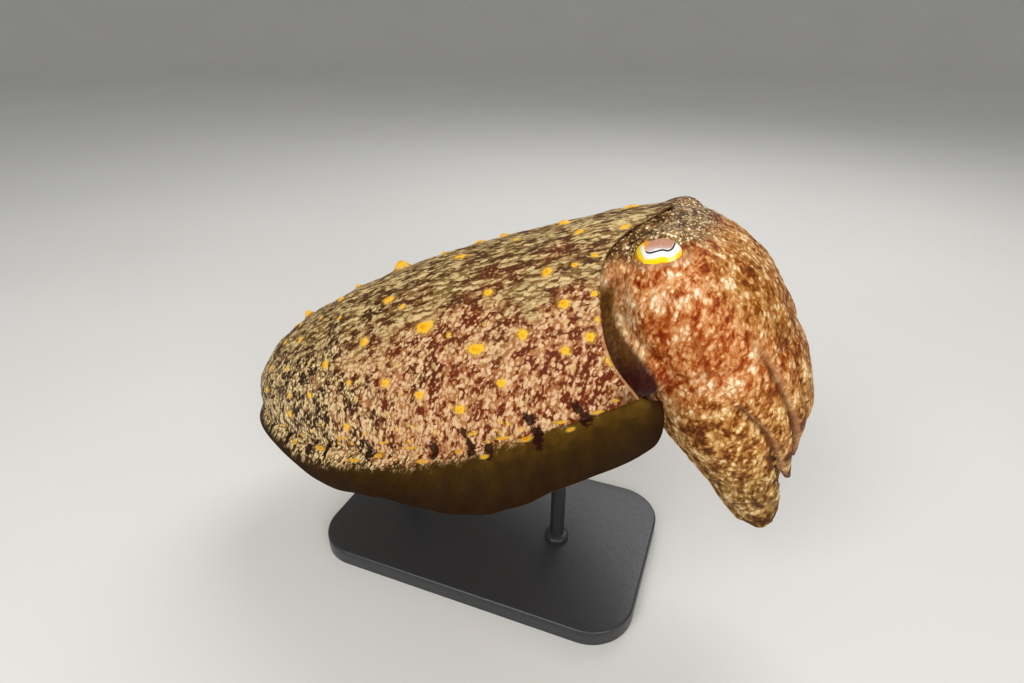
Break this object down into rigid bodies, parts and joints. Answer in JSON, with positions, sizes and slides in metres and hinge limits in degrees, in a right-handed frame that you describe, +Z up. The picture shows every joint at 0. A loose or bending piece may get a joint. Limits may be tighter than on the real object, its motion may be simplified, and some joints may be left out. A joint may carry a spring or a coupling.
{
  "type": "broadclub cuttlefish model",
  "caption": "Life-size still model of a broadclub cuttlefish hovering head-up with its arms hanging and fins spread, carried by short rods on a flat display base.",
  "frame": {"origin": "middle of the whole model's footprint box, on the surface that the stand's base rests on", "axes": "+X forward, the way the head faces; +Y to the animal's left; +Z up; the body is pitched head-up by the named angle"},
  "size_m": [0.3764, 0.217, 0.2664],
  "materials": {
    "skin": "painted skin, mottled brown, cream and yellow, soft sheen",
    "fin_skin": "thin olive-brown fin skin",
    "eye": "clear glossy eye with a dark wavy pupil",
    "stand_finish": "black satin paint"
  },
  "bodies": {
    "root": {"mantle": "skin", "head": "skin", "neck": "skin", "funnel": "skin", "mouth": "skin", "eye_left": "eye", "eye_right": "eye", "arm_1_left": "skin", "arm_1_right": "skin", "arm_2_left": "skin", "arm_2_right": "skin", "arm_3_left": "skin", "arm_3_right": "skin", "arm_4_left": "skin", "arm_4_right": "skin", "fin_rear_left": "fin_skin", "fin_rear_right": "fin_skin", "fin_middle_left": "fin_skin", "fin_middle_right": "fin_skin", "fin_front_left": "fin_skin", "fin_front_right": "fin_skin", "stand_base": "stand_finish", "stand_rod_rear": "stand_finish", "stand_rod_front": "stand_finish"}
  },
  "joints": []
}
